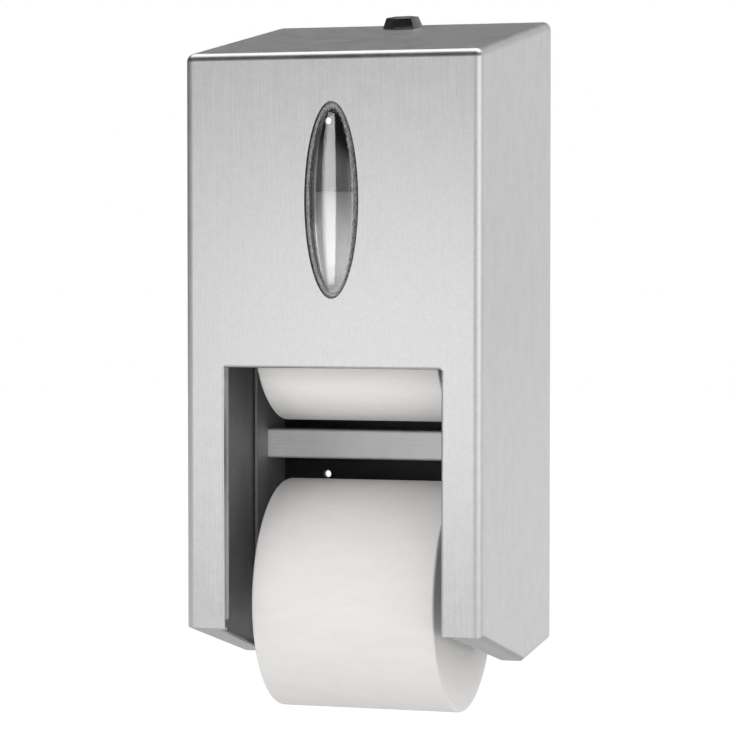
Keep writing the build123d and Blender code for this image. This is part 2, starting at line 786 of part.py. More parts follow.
def end_plug(side, roll_z):
    """Moulded plug: a cup in the core, a rim over the roll's end and a journal outside."""
    with BuildPart() as plug:
        with BuildSketch(across_x(roll_y, roll_z, side * (roll_end_x - plug_depth))):
            Circle(core_bore_radius)
        extrude(amount=side * plug_depth)
        with BuildSketch(across_x(roll_y, roll_z, side * (roll_end_x - plug_depth))):
            Circle(core_bore_radius - plug_wall)
        extrude(amount=side * (plug_depth - plug_wall + plug_rim_thickness), mode=Mode.SUBTRACT)
        with BuildSketch(across_x(roll_y, roll_z, side * roll_end_x)):
            Circle(plug_rim_radius)
        extrude(amount=side * plug_rim_thickness)
        with BuildSketch(across_x(roll_y, roll_z, side * (roll_end_x + plug_rim_thickness))):
            Circle(journal_radius)
        extrude(amount=side * journal_length)
        chamfer(plug.edges().group_by(Axis.X)[0 if side < 0 else -1], plug_chamfer)
    return plug.part


for roll_name, roll_z in rolls.items():
    with BuildPart() as paper:
        with BuildSketch(across_x(roll_y, roll_z)):
            Circle(roll_radius)
        extrude(amount=roll_end_x, both=True)
        fillet(paper.edges(), paper_edge_radius)
        with BuildSketch(across_x(roll_y, roll_z)):
            Circle(core_radius)
        extrude(amount=roll_width, both=True, mode=Mode.SUBTRACT)
    paper.part.label = f"{roll_name}_roll_paper"
    export_step(paper.part, f"parts/{roll_name}_roll_paper.step")

    with BuildPart() as core:
        with BuildSketch(across_x(roll_y, roll_z)):
            Circle(core_radius)
            Circle(core_bore_radius, mode=Mode.SUBTRACT)
        extrude(amount=roll_end_x, both=True)
    core.part.label = f"{roll_name}_roll_core"
    export_step(core.part, f"parts/{roll_name}_roll_core.step")

    for side_name, side in sides.items():
        with BuildPart() as roll_plug:
            add(end_plug(side, roll_z))
        roll_plug.part.label = f"{roll_name}_{side_name}_plug"
        export_step(roll_plug.part, f"parts/{roll_name}_{side_name}_plug.step")
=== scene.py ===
"""A steel wall dispenser for two toilet rolls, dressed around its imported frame."""

import json
import logging
import math
from collections.abc import Callable, Iterator
from contextlib import contextmanager
from dataclasses import dataclass, field
from enum import Enum

import bmesh
import bpy
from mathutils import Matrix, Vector

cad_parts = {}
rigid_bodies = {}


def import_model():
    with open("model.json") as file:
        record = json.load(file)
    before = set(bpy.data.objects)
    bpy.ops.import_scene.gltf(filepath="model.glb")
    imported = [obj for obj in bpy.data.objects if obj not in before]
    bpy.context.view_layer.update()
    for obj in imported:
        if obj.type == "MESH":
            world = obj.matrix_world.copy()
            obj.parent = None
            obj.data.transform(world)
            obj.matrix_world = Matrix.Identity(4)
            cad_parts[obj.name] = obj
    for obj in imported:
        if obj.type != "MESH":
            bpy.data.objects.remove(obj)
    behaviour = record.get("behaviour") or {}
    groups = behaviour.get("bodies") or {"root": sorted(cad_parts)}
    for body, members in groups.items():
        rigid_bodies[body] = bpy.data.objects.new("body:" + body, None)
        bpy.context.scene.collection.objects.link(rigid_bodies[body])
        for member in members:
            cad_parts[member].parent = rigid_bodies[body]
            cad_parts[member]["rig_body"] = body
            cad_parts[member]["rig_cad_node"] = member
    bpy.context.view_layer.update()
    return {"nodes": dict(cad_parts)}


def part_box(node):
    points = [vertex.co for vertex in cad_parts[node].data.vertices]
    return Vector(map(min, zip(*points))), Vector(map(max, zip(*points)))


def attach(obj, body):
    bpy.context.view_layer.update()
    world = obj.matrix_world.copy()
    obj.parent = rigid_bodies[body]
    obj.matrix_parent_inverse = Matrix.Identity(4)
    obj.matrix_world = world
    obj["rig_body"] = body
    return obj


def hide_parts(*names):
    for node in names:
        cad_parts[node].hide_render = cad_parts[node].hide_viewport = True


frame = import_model()

LOG = logging.getLogger("dispenser")
MM = 0.001
SAME_PLACE = 0.01 * MM  # places closer than this count as one
CAD_WELD = 0.002 * MM  # the gap that is closed between the facets of a CAD node
CAD_FLAT = math.radians(0.8)  # facets that turn by less are made one flat face
FACING = 0.5  # the least part along Y of the normal of a face that looks along Y
ROUNDING_STRIPS = 3  # strips of faces in a rounded edge
Colour = tuple[float, float, float]
Triple = tuple[float, float, float]
Span = tuple[float, float]


class Axis(Enum):
    """Directions that a grain or an axle can run in."""

    X = 0
    Y = 1
    Z = 2


class Element(Enum):
    """What a selection in edit mode is made of."""

    VERTEX = "VERT"
    EDGE = "EDGE"
    FACE = "FACE"


class Term:
    """A socket in a shader, or a plain number, with Python's operators as Math nodes."""

    def __init__(self, shader: "Shader", socket: bpy.types.NodeSocket) -> None:
        """Wraps one output socket of the shader's nodes."""
        self.shader = shader
        self.socket = socket

    def math(self, operation: str, *values: "Term | float", clamp: bool = False) -> "Term":
        """Adds one Math node.

        Args:
            operation: the Math node's operation.
            values: the node's inputs, in order.
            clamp: whether the result is held between 0 and 1.

        Returns:
            The node's result.
        """
        settings = {"operation": operation, "use_clamp": clamp}
        return self.shader.node("ShaderNodeMath", settings, dict(enumerate(values)))

    def __add__(self, other: "Term | float") -> "Term":
        """Sum of two values."""
        return self.math("ADD", self, other)

    def __radd__(self, other: float) -> "Term":
        """Sum with a number on the left."""
        return self.math("ADD", other, self)

    def __sub__(self, other: "Term | float") -> "Term":
        """Difference of two values."""
        return self.math("SUBTRACT", self, other)

    def __rsub__(self, other: float) -> "Term":
        """Difference from a number on the left."""
        return self.math("SUBTRACT", other, self)

    def __mul__(self, other: "Term | float") -> "Term":
        """Product of two values."""
        return self.math("MULTIPLY", self, other)

    def __rmul__(self, other: float) -> "Term":
        """Product with a number on the left."""
        return self.math("MULTIPLY", other, self)

    def __truediv__(self, other: "Term | float") -> "Term":
        """Quotient of two values."""
        return self.math("DIVIDE", self, other)

    def __abs__(self) -> "Term":
        """Size of a value without its sign."""
        return self.math("ABSOLUTE", self)

    def clamped(self) -> "Term":
        """The value held between 0 and 1."""
        return self.math("ADD", self, 0.0, clamp=True)

    def swing(self, reach: float) -> "Term":
        """How far the value is from a half, times reach."""
        return reach * (self - 0.5)

    def sine(self) -> "Term":
        """Sine of the value in radians."""
        return self.math("SINE", self)

    def root(self) -> "Term":
        """Square root of the value."""
        return self.math("SQRT", self)

    def step(self, low: float, high: float) -> "Term":
        """Smooth step of the value.

        Args:
            low: the value at which the result leaves 0.
            high: the value at which the result reaches 1.

        Returns:
            A value from 0 to 1.
        """
        settings = {"interpolation_type": "SMOOTHSTEP"}
        return self.shader.node("ShaderNodeMapRange", settings, {0: self, 1: low, 2: high})


class Shader:
    """The node tree of a material or a world, written as Python expressions."""

    def __init__(self, owner: bpy.types.Material | bpy.types.World, output: str) -> None:
        """Empties the owner's nodes and gives it one output node.

        Args:
            owner: the new material or world.
            output: the type of its output node.
        """
        self.owner = owner
        owner.use_nodes = True
        self.tree = owner.node_tree
        self.tree.nodes.clear()
        self.output = self.tree.nodes.new(output)

    @classmethod
    def material(cls, name: str) -> "Shader":
        """An empty material's shader."""
        return cls(bpy.data.materials.new(name), "ShaderNodeOutputMaterial")

    @classmethod
    def world(cls, name: str) -> "Shader":
        """An empty world's shader."""
        return cls(bpy.data.worlds.new(name), "ShaderNodeOutputWorld")

    def node(
        self,
        kind: str,
        settings: dict[str, object] | None = None,
        inputs: dict[int | str, object] | None = None,
        result: int | str = 0,
    ) -> Term:
        """Adds any node.

        Args:
            kind: the node's type.
            settings: attributes that are set before its sockets.
            inputs: a value or a Term for each named or numbered input.
            result: the output that is returned.

        Returns:
            The chosen output.
        """
        node = self.tree.nodes.new(kind)
        for key, value in (settings or {}).items():
            setattr(node, key, value)
        for key, value in (inputs or {}).items():
            if isinstance(value, Term):
                self.tree.links.new(value.socket, node.inputs[key])
            else:
                node.inputs[key].default_value = value
        return Term(self, node.outputs[result])

    def place(self, output: str = "Object") -> Term:
        """One of the texture coordinates.

        Args:
            output: Object for the shaded point in the part's frame at rest, Normal for the
                surface's normal, or Generated for the direction in a world.

        Returns:
            The coordinate, as a vector.
        """
        return self.node("ShaderNodeTexCoord", result=output)

    def axes(self, vector: Term) -> tuple[Term, Term, Term]:
        """The three parts of a vector."""
        split = self.node("ShaderNodeSeparateXYZ", None, {0: vector})
        outputs = split.socket.node.outputs
        return tuple(Term(self, outputs[i]) for i in range(3))

    def stretched(self, vector: Term, scale: Triple) -> Term:
        """The vector with each part multiplied."""
        settings = {"operation": "MULTIPLY"}
        return self.node("ShaderNodeVectorMath", settings, {0: vector, 1: scale})

    def noise(self, vector: Term, scale: float, detail: float, rough: float) -> Term:
        """Noise from 0 to 1.

        Args:
            vector: where the noise is read.
            scale: cells in each metre.
            detail: octaves.
            rough: how strong the finer octaves are.

        Returns:
            The noise value.
        """
        inputs = {"Vector": vector, "Scale": scale, "Detail": detail, "Roughness": rough}
        return self.node("ShaderNodeTexNoise", None, inputs)

    def blend(self, factor: Term, low: Colour, high: Colour) -> Term:
        """A colour between two.

        Args:
            factor: 0 gives low and 1 gives high.
            low: the first colour.
            high: the second colour.

        Returns:
            The mixed colour.
        """
        # The node's sockets for colours share their names with others, so they go by number.
        settings = {"data_type": "RGBA"}
        inputs = {0: factor, 6: (*low, 1.0), 7: (*high, 1.0)}
        return self.node("ShaderNodeMix", settings, inputs, result=2)

    def bump(self, height: Term, depth: float, strength: float = 1.0) -> Term:
        """A normal from a height.

        Args:
            height: the height, from 0 to 1.
            depth: the height of 1, in metres.
            strength: the bump's share.

        Returns:
            The bent normal.
        """
        inputs = {"Height": height, "Distance": depth, "Strength": strength}
        return self.node("ShaderNodeBump", None, inputs)

    def principled(self, **values: object) -> Term:
        """A Principled BSDF whose sockets are named with underscores for spaces."""
        inputs = {key.replace("_", " "): value for key, value in values.items()}
        return self.node("ShaderNodeBsdfPrincipled", None, inputs)

    def ray(self, *kinds: str) -> Term:
        """1 for rays of the kinds named, such as Is Camera Ray, and 0 for others."""
        paths = self.node("ShaderNodeLightPath").socket.node.outputs
        total = Term(self, paths[kinds[0]])
        for kind in kinds[1:]:
            total = total + Term(self, paths[kind])
        return total.clamped()

    def finish(self, surface: Term) -> bpy.types.Material | bpy.types.World:
        """Puts the surface on the output and returns the material or world."""
        self.tree.links.new(surface.socket, self.output.inputs["Surface"])
        return self.owner


@dataclass(frozen=True)
class BrushedSteel:
    """Stainless sheet with fine strokes along one direction and a soft mottling.

    The strokes on faces that point up or down run along under_grain instead of grain.
    """

    name: str
    dark: Colour
    light: Colour
    grain: Axis = Axis.Z
    under_grain: Axis = Axis.Y
    under_range: Span = (0.6, 0.8)  # of the normal along Z, from grain to under_grain
    roughness: float = 0.34
    stroke_roughness: float = 0.16
    mottle_roughness: float = 0.1
    dull_roughness: float = 0.3
    stroke_pitch: float = 0.35 * MM
    stroke_length: float = 30 * MM
    stroke_depth: float = 0.004 * MM
    mottle_size: float = 11 * MM
    specks: float = 9.0  # specks across one mottle
    shares: Triple = (0.5, 0.3, 0.2)  # of strokes, mottles and specks in the tone
    contrast: Span = (0.3, 0.7)  # where dark ends and light begins in the tone
    dullness: float = 0.6  # how much less metallic the dull finish is

    def dull(self, shader: Shader) -> Term | float:
        """1 where the sheet kept its dull mill finish."""
        return 0.0

    def strokes(self, shader: Shader, along: Axis) -> Term:
        """Noise drawn out along one axis."""
        scale = [1 / self.stroke_pitch] * 3
        scale[along.value] = 1 / self.stroke_length
        drawn_out = shader.stretched(shader.place(), tuple(scale))
        return shader.noise(drawn_out, 1.0, detail=4.0, rough=0.7)

    def material(self) -> bpy.types.Material:
        """Builds the material and returns it."""
        shader = Shader.material(self.name)
        upward = abs(shader.axes(shader.place("Normal"))[2]).step(*self.under_range)
        side = self.strokes(shader, self.grain)
        over = self.strokes(shader, self.under_grain)
        stroke = side + upward * (over - side)
        mottle = shader.noise(shader.place(), 1 / self.mottle_size, detail=4.0, rough=0.65)
        speck_scale = self.specks / self.mottle_size
        speck = shader.noise(shader.place(), speck_scale, detail=3.0, rough=0.6)
        of_stroke, of_mottle, of_speck = self.shares
        tone = stroke * of_stroke + mottle * of_mottle + speck * of_speck
        dull = self.dull(shader)
        rough = self.roughness + stroke.swing(self.stroke_roughness)
        rough = rough + mottle.swing(self.mottle_roughness)
        surface = shader.principled(
            Base_Color=shader.blend(tone.step(*self.contrast), self.dark, self.light),
            Metallic=1.0 - dull * self.dullness,
            Roughness=rough + dull * self.dull_roughness,
            Normal=shader.bump(stroke, self.stroke_depth),
        )
        return shader.finish(surface)


@dataclass(frozen=True)
class CoverSteel(BrushedSteel):
    """Brushed outside, with the dull mill finish left on the faces inside."""

    inner_x: float = 79.4 * MM  # a place inside the thickness of a side wall
    inner_y: float = -152.0 * MM  # where the dull finish begins behind the front
    side_range: Span = (0.8, 0.95)  # of the normal along X, for a face of a side wall
    side_fade: float = 0.1 * MM
    front_fade: float = 4 * MM

    def dull(self, shader: Shader) -> Term:
        """1 on the inner faces of the side walls, from a little behind the front."""
        x, y, _ = shader.axes(shader.place())
        sides = abs(shader.axes(shader.place("Normal"))[0]).step(*self.side_range)
        within = 1 - abs(x).step(self.inner_x - self.side_fade, self.inner_x)
        return sides * within * y.step(self.inner_y, self.inner_y + self.front_fade)


@dataclass(frozen=True)
class DullSteel(BrushedSteel):
    """Sheet with its dull mill finish on every face."""

    def dull(self, shader: Shader) -> float:
        """1 everywhere."""
        return 1.0


@dataclass(frozen=True)
class Moulding:
    """Moulded plastic with a fine spark-eroded grain."""

    name: str
    dark: Colour
    light: Colour
    roughness: float = 0.5
    cloud_roughness: float = 0.12
    grain_roughness: float = 0.08
    grain_size: float = 0.5 * MM
    grain_depth: float = 0.02 * MM
    cloud_share: float = 0.04  # of a cloud, that one grain spans
    contrast: Span = (0.3, 0.7)  # where dark ends and light begins in the clouds
    coat: float = 0.0
    coat_roughness: float = 0.08

    def material(self) -> bpy.types.Material:
        """Builds the material and returns it."""
        shader = Shader.material(self.name)
        grain = shader.noise(shader.place(), 1 / self.grain_size, detail=2.0, rough=0.5)
        cloud_scale = self.cloud_share / self.grain_size
        cloud = shader.noise(shader.place(), cloud_scale, detail=4.0, rough=0.6)
        rough = self.roughness + cloud.swing(self.cloud_roughness)
        surface = shader.principled(
            Base_Color=shader.blend(cloud.step(*self.contrast), self.dark, self.light),
            Roughness=rough + grain.swing(self.grain_roughness),
            Normal=shader.bump(grain, self.grain_depth),
            Coat_Weight=self.coat,
            Coat_Roughness=self.coat_roughness,
        )
        return shader.finish(surface)


@dataclass(frozen=True)
class Tissue:
    """Soft white tissue paper wound round an axis along X."""

    name: str
    axis_y: float
    axis_z: float
    end_x: float
    radius: float
    dark: Colour = (0.8, 0.787, 0.775)
    light: Colour = (0.88, 0.869, 0.858)
    contrast: Span = (0.2, 0.8)  # where dark ends and light begins in the tone
    tone_shares: Span = (0.6, 0.4)  # of fibres and creases in the tone
    layer_pitch: float = 1.1 * MM
    layer_turns: float = 0.8  # changes in each radian along a layer
    layer_steps: float = 100.0  # changes in each metre from layer to layer along X
    end_edge: Span = (1.0 * MM, 0.5 * MM)  # before the end, where its look begins and is full
    emboss_pitch: float = 3.2 * MM
    fibre_scale: float = 900.0
    crease_scale: Triple = (40.0, 140.0, 140.0)
    relief: float = 0.28 * MM
    relief_strength: float = 0.7
    relief_shares: Triple = (0.15, 0.35, 0.25)  # of embossing, fibres and creases
    roughness: float = 0.88
    fibre_roughness: float = 0.1
    sheen: float = 0.1

    def layers(self, shader: Shader, reach: Term, turn: Term, x: Term) -> Term:
        """Soft uneven rings, such as the wound edges of the paper show.

        Args:
            shader: the paper's shader.
            reach: the distance from the axis.
            turn: the angle about the axis.
            x: the place along the axis.

        Returns:
            Noise from 0 to 1.
        """
        inputs = {
            0: reach * (1 / self.layer_pitch),
            1: turn * self.layer_turns,
            2: x * self.layer_steps,
        }
        wound = shader.node("ShaderNodeCombineXYZ", None, inputs)
        return shader.noise(wound, 1.0, detail=3.0, rough=0.6)

    def material(self) -> bpy.types.Material:
        """Builds the material and returns it."""
        shader = Shader.material(self.name)
        place = shader.place()
        x, y, z = shader.axes(place)
        off_y, off_z = y - self.axis_y, z - self.axis_z
        reach = (off_y * off_y + off_z * off_z).root()
        turn = shader.node("ShaderNodeMath", {"operation": "ARCTAN2"}, {0: off_z, 1: off_y})
        layers = self.layers(shader, reach, turn, x)
        end_face = abs(x).step(*[self.end_x - edge for edge in self.end_edge])
        around = turn * self.radius
        wave = 2 * math.pi / self.emboss_pitch
        emboss = ((x + around) * wave).sine() * ((x - around) * wave).sine() * 0.5 + 0.5
        fibre = shader.noise(place, self.fibre_scale, detail=4.0, rough=0.7)
        folded = shader.stretched(place, self.crease_scale)
        crease = shader.noise(folded, 1.0, detail=3.0, rough=0.6)
        of_emboss, of_fibre, of_crease = self.relief_shares
        outer = emboss * of_emboss + fibre * of_fibre + crease * of_crease
        of_fibre, of_crease = self.tone_shares
        tone = (fibre * of_fibre + crease * of_crease).step(*self.contrast)
        tone = tone + end_face * (layers.step(*self.contrast) - tone)
        surface = shader.principled(
            Base_Color=shader.blend(tone, self.dark, self.light),
            Roughness=self.roughness + fibre.swing(self.fibre_roughness),
            Normal=shader.bump(outer * (1 - end_face), self.relief, self.relief_strength),
            Sheen_Weight=self.sheen,
        )
        return shader.finish(surface)


@dataclass(frozen=True)
class CoreBoard:
    """Grey-brown board wound at a slant, with its seam."""

    name: str
    dark: Colour = (0.3, 0.235, 0.17)
    light: Colour = (0.45, 0.37, 0.28)
    strip_pitch: float = 38 * MM
    slant: float = 0.6
    seam_width: float = 0.06
    fibre_scale: Triple = (300.0, 900.0, 900.0)
    tone_shares: Span = (0.8, 0.2)  # of fibres and seams in the tone
    contrast: Span = (0.3, 0.8)  # where dark ends and light begins in the tone
    roughness: float = 0.9
    fibre_roughness: float = 0.08
    relief: float = 0.12 * MM

    def material(self) -> bpy.types.Material:
        """Builds the material and returns it."""
        shader = Shader.material(self.name)
        place = shader.place()
        x, _, z = shader.axes(place)
        wave = 2 * math.pi / self.strip_pitch
        seam = abs(((x + z * self.slant) * wave).sine()).step(0.0, self.seam_width)
        drawn_out = shader.stretched(place, self.fibre_scale)
        fibre = shader.noise(drawn_out, 1.0, detail=5.0, rough=0.7)
        of_fibre, of_seam = self.tone_shares
        tone = (fibre * of_fibre + seam * of_seam).step(*self.contrast)
        surface = shader.principled(
            Base_Color=shader.blend(tone, self.dark, self.light),
            Roughness=self.roughness + fibre.swing(self.fibre_roughness),
            Normal=shader.bump(fibre * 0.5 + seam * 0.5, self.relief),
        )
        return shader.finish(surface)


@dataclass(frozen=True)
class ClearLens:
    """Clear plastic that mirrors a little at any angle, with a frosted, speckled rim."""

    name: str
    centre_z: float
    half_width: float
    half_height: float
    rim: float = 2.5 * MM
    rim_edge: Span = (0.97, 1.05)  # the shares of the dome's reach where frost begins and is full
    rim_wander: float = 0.06
    index: float = 1.55
    clear: Colour = (0.95, 0.955, 0.955)
    frost: Colour = (0.06, 0.06, 0.06)
    polish: Colour = (1.0, 1.0, 1.0)
    speckle_width: float = 0.5 * MM
    speckle_length: float = 1.4 * MM
    speckle_contrast: Span = (0.35, 0.65)
    speckle_light: float = 0.3
    frost_veil: float = 0.5
    speckle_veil: float = 0.35
    roughness: float = 0.09
    frost_roughness: float = 0.35
    relief: float = 0.1 * MM
    relief_strength: float = 0.4

    def material(self) -> bpy.types.Material:
        """Builds the material and returns it."""
        shader = Shader.material(self.name)
        place = shader.place()
        x, _, z = shader.axes(place)
        across = x / (self.half_width - self.rim)
        up = (z - self.centre_z) / (self.half_height - self.rim)
        reach = (across * across + up * up).root()
        fine = (1 / self.speckle_width, 1 / self.speckle_width, 1 / self.speckle_length)
        speckle = shader.noise(shader.stretched(place, fine), 1.0, detail=3.0, rough=0.7)
        speckle = speckle.step(*self.speckle_contrast)
        rim = (reach + speckle.swing(self.rim_wander)).step(*self.rim_edge)
        mirror = shader.node("ShaderNodeFresnel", None, {"IOR": self.index})
        veil = (mirror + rim * (self.frost_veil + self.speckle_veil * speckle)).clamped()
        polished = 1 - rim * (1 - self.speckle_light * speckle)
        skin = shader.principled(
            Base_Color=shader.blend(polished, self.frost, self.polish),
            Metallic=1 - rim,
            Roughness=self.roughness + self.frost_roughness * rim,
            Normal=shader.bump(speckle * rim, self.relief, self.relief_strength),
        )
        clear = shader.node("ShaderNodeBsdfTransparent", None, {"Color": (*self.clear, 1.0)})
        both = shader.node("ShaderNodeMixShader", None, {0: veil, 1: clear, 2: skin})
        return shader.finish(both)


class Piece:
    """One mesh, worked on with Blender's operators and then set on its body."""

    def __init__(self, obj: bpy.types.Object, name: str) -> None:
        """Takes over an object, which becomes the only one selected."""
        self.obj = obj
        obj.name = name
        obj.data.name = name
        self.activate()

    @classmethod
    def primitive(cls, name: str, add: Callable[..., object], **settings: object) -> "Piece":
        """Starts from a primitive.

        Args:
            name: the piece's name.
            add: the operator that adds the primitive.
            settings: the operator's own settings.

        Returns:
            The new piece, with its place in its mesh.
        """
        deselect()
        add(**settings)
        piece = cls(bpy.context.active_object, name)
        bpy.ops.object.transform_apply(location=True, rotation=True, scale=True)
        return piece

    @classmethod
    def copy_of(cls, node: str, name: str) -> "Piece":
        """Starts from a merged copy of a CAD node.

        Args:
            node: the CAD node's name.
            name: the piece's name.

        Returns:
            The new piece, with flat faces made whole.
        """
        source = frame["nodes"][node]
        obj = source.copy()
        obj.data = source.data.copy()
        obj.parent = None
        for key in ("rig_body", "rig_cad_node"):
            del obj[key]
        bpy.context.scene.collection.objects.link(obj)
        piece = cls(obj, name)
        with piece.edit():
            bpy.ops.mesh.select_all(action="SELECT")
            bpy.ops.mesh.remove_doubles(threshold=CAD_WELD)
            bpy.ops.mesh.customdata_custom_splitnormals_clear()
            bpy.ops.mesh.dissolve_limited(angle_limit=CAD_FLAT)
        return piece

    def activate(self) -> None:
        """Makes this object the only one selected."""
        deselect()
        self.obj.select_set(True)
        bpy.context.view_layer.objects.active = self.obj

    @contextmanager
    def edit(self) -> Iterator[None]:
        """Edit mode for the length of a with block."""
        self.activate()
        bpy.ops.object.mode_set(mode="EDIT")
        yield
        bpy.ops.object.mode_set(mode="OBJECT")

    def select(self, kind: Element, test: Callable[[object], bool]) -> None:
        """Selects in edit mode what passes a test.

        Args:
            kind: vertices, edges or faces.
            test: says whether one of them is chosen.
        """
        bpy.ops.mesh.select_mode(type=kind.value)
        bpy.ops.mesh.select_all(action="DESELECT")
        mesh = bmesh.from_edit_mesh(self.obj.data)
        parts = {Element.VERTEX: mesh.verts, Element.EDGE: mesh.edges, Element.FACE: mesh.faces}
        for part in parts[kind]:
            part.select_set(test(part))
        bmesh.update_edit_mesh(self.obj.data)

    def draw_out(self, distance: float) -> None:
        """Extrudes the selected faces along Y."""
        bpy.ops.mesh.extrude_region_move(TRANSFORM_OT_translate={"value": (0.0, distance, 0.0)})

    def stretch(self, middle: Vector, shares: Triple) -> None:
        """Scales the selection about a point."""
        bpy.ops.transform.resize(value=shares, center_override=tuple(middle))

    def modify(self, kind: str, **settings: object) -> None:
        """Adds a modifier with these settings and applies it."""
        self.activate()
        modifier = self.obj.modifiers.new(kind.title(), kind)
        for key, value in settings.items():
            setattr(modifier, key, value)
        bpy.ops.object.modifier_apply(modifier=modifier.name)

    def round_edges(self, width: float, turn: float) -> None:
        """Rounds every edge at which the surface turns sharply.

        Args:
            width: the rounding's width in metres.
            turn: the least turn that is rounded, in degrees.
        """
        self.modify(
            "BEVEL",
            width=width,
            segments=ROUNDING_STRIPS,
            limit_method="ANGLE",
            angle_limit=math.radians(turn),
        )

    def cut(self, tool: "Piece") -> None:
        """Takes another piece's shape out of this one and removes the other."""
        self.modify("BOOLEAN", operation="DIFFERENCE", solver="EXACT", object=tool.obj)
        bpy.data.objects.remove(tool.obj)

    def join(self, others: list["Piece"]) -> None:
        """Joins other pieces into this one."""
        self.activate()
        for other in others:
            other.obj.select_set(True)
        bpy.ops.object.join()

    def duplicate(self, name: str, offset: Vector) -> "Piece":
        """A copy with its own mesh, moved by an offset."""
        obj = self.obj.copy()
        obj.data = self.obj.data.copy()
        bpy.context.scene.collection.objects.link(obj)
        copy = Piece(obj, name)
        obj.location = offset
        bpy.ops.object.transform_apply(location=True, rotation=False, scale=False)
        return copy

    def set_on(
        self,
        body: str,
        slot: str,
        material: bpy.types.Material,
        nodes: tuple[str, ...],
        smooth: float = 30.0,
    ) -> None:
        """Dresses the finished piece and sets it on its body.

        Args:
            body: the CAD body that it rides on.
            slot: the record's material slot; not used.
            material: its finish.
            nodes: the CAD nodes that it stands for.
            smooth: the angle in degrees under which edges are shaded smooth.
        """
        self.activate()
        bpy.ops.object.shade_smooth_by_angle(angle=math.radians(smooth))
        self.obj.data.materials.clear()
        self.obj.data.materials.append(material)
        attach(self.obj, body)
        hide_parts(*nodes)
        LOG.info("%s: %d faces on %s", self.obj.name, len(self.obj.data.polygons), body)


def deselect() -> None:
    """Leaves nothing selected."""
    bpy.ops.object.select_all(action="DESELECT")


def run_along_x(edge: bmesh.types.BMEdge) -> float:
    """How far an edge runs along X."""
    return abs(edge.verts[0].co.x - edge.verts[1].co.x)


def dress(material: bpy.types.Material, *nodes: str) -> None:
    """Gives CAD nodes their finish.

    Args:
        material: the finish.
        nodes: the nodes' names.
    """
    for node in nodes:
        data = frame["nodes"][node].data
        data.materials.clear()
        data.materials.append(material)
        LOG.info("%s: %s", node, material.name)


@dataclass
class Cover:
    """The folded steel cover and the studs inside it."""

    sheet: CoverSteel = CoverSteel(
        "cover_sheet_steel", (0.46, 0.46, 0.465), (0.62, 0.62, 0.625)
    )
    stud: BrushedSteel = BrushedSteel(
        "stud_steel", (0.4, 0.4, 0.4), (0.6, 0.6, 0.6), grain=Axis.X, stroke_length=2 * MM
    )

    def build(self) -> None:
        """Dresses the cover's nodes."""
        dress(self.sheet.material(), "cover_shell")
        dress(self.stud.material(), "hinge_studs", "stop_studs")


@dataclass
class Window:
    """The domed lens in the cover's front, and what holds it from behind."""

    flange: float = 4 * MM
    facets: int = 128
    rings: int = 16
    tip: float = 0.0001  # the last ring's share of the dome
    weld: float = 0.001 * MM
    smooth: float = 35.0
    foam: Moulding = Moulding(
        "gasket_foam", (0.02, 0.02, 0.02), (0.045, 0.045, 0.045), roughness=0.9
    )
    plate: BrushedSteel = BrushedSteel("retainer_steel", (0.3, 0.3, 0.3), (0.45, 0.45, 0.45))
    fixing: BrushedSteel = BrushedSteel(
        "window_fixing_steel", (0.4, 0.4, 0.4), (0.6, 0.6, 0.6), stroke_length=1 * MM
    )

    def lens(self) -> None:
        """Draws the lens up from an oval disc, first its front and then its hollow back."""
        gasket_low, gasket_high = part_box("lens_gasket")
        low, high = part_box("window_lens")
        middle = (low + high) / 2
        flange_y, back_y = gasket_high.y, high.y
        half_width, half_height = (high.x - low.x) / 2, (high.z - low.z) / 2
        dome_width, dome_height = half_width - self.flange, half_height - self.flange
        wall = back_y - flange_y
        piece = Piece.primitive(
            "domed_lens",
            bpy.ops.mesh.primitive_circle_add,
            vertices=self.facets,
            radius=half_width,
            fill_type="NGON",
            location=(0.0, back_y, middle.z),
            rotation=(math.pi / 2, 0.0, 0.0),
        )
        with piece.edit():
            bpy.ops.mesh.select_all(action="SELECT")
            piece.stretch(middle, (1.0, 1.0, half_height / half_width))
            piece.draw_out(flange_y - back_y)
            piece.draw_out(0.0)
            piece.stretch(middle, (dome_width / half_width, 1.0, dome_height / half_height))
            self.bulge(piece, middle, low.y - flange_y)
            piece.select(
                Element.FACE,
                lambda f: len(f.verts) == self.facets and f.verts[0].co.y > back_y - SAME_PLACE,
            )
            piece.draw_out(0.0)
            hollow = ((dome_width - wall) / half_width, 1.0, (dome_height - wall) / half_height)
            piece.stretch(middle, hollow)
            self.bulge(piece, middle, low.y - flange_y)
            bpy.ops.mesh.select_all(action="SELECT")
            bpy.ops.mesh.remove_doubles(threshold=self.weld)
            bpy.ops.mesh.normals_make_consistent(inside=False)
        clear = ClearLens("lens_clear_plastic", middle.z, dome_width, dome_height)
        piece.set_on("cover", "lens_clear", clear.material(), ("window_lens",), self.smooth)

    def bulge(self, piece: Piece, middle: Vector, depth: float) -> None:
        """Draws the selected oval face out into half an ellipsoid.

        Args:
            piece: the lens, in edit mode.
            middle: the window's middle.
            depth: how far the dome reaches along Y.
        """
        reach, share = 0.0, 1.0
        for ring in range(1, self.rings + 1):
            turn = math.pi / 2 * ring / self.rings
            piece.draw_out(depth * (math.sin(turn) - reach))
            next_share = max(math.cos(turn), self.tip)
            piece.stretch(middle, (next_share / share, 1.0, next_share / share))
            reach, share = math.sin(turn), next_share

    def build(self) -> None:
        """Makes the lens and dresses the window's other nodes."""
        self.lens()
        dress(self.foam.material(), "lens_gasket")
        dress(self.plate.material(), "lens_retainer")
        dress(self.fixing.material(), "lens_studs", "lens_push_nuts")


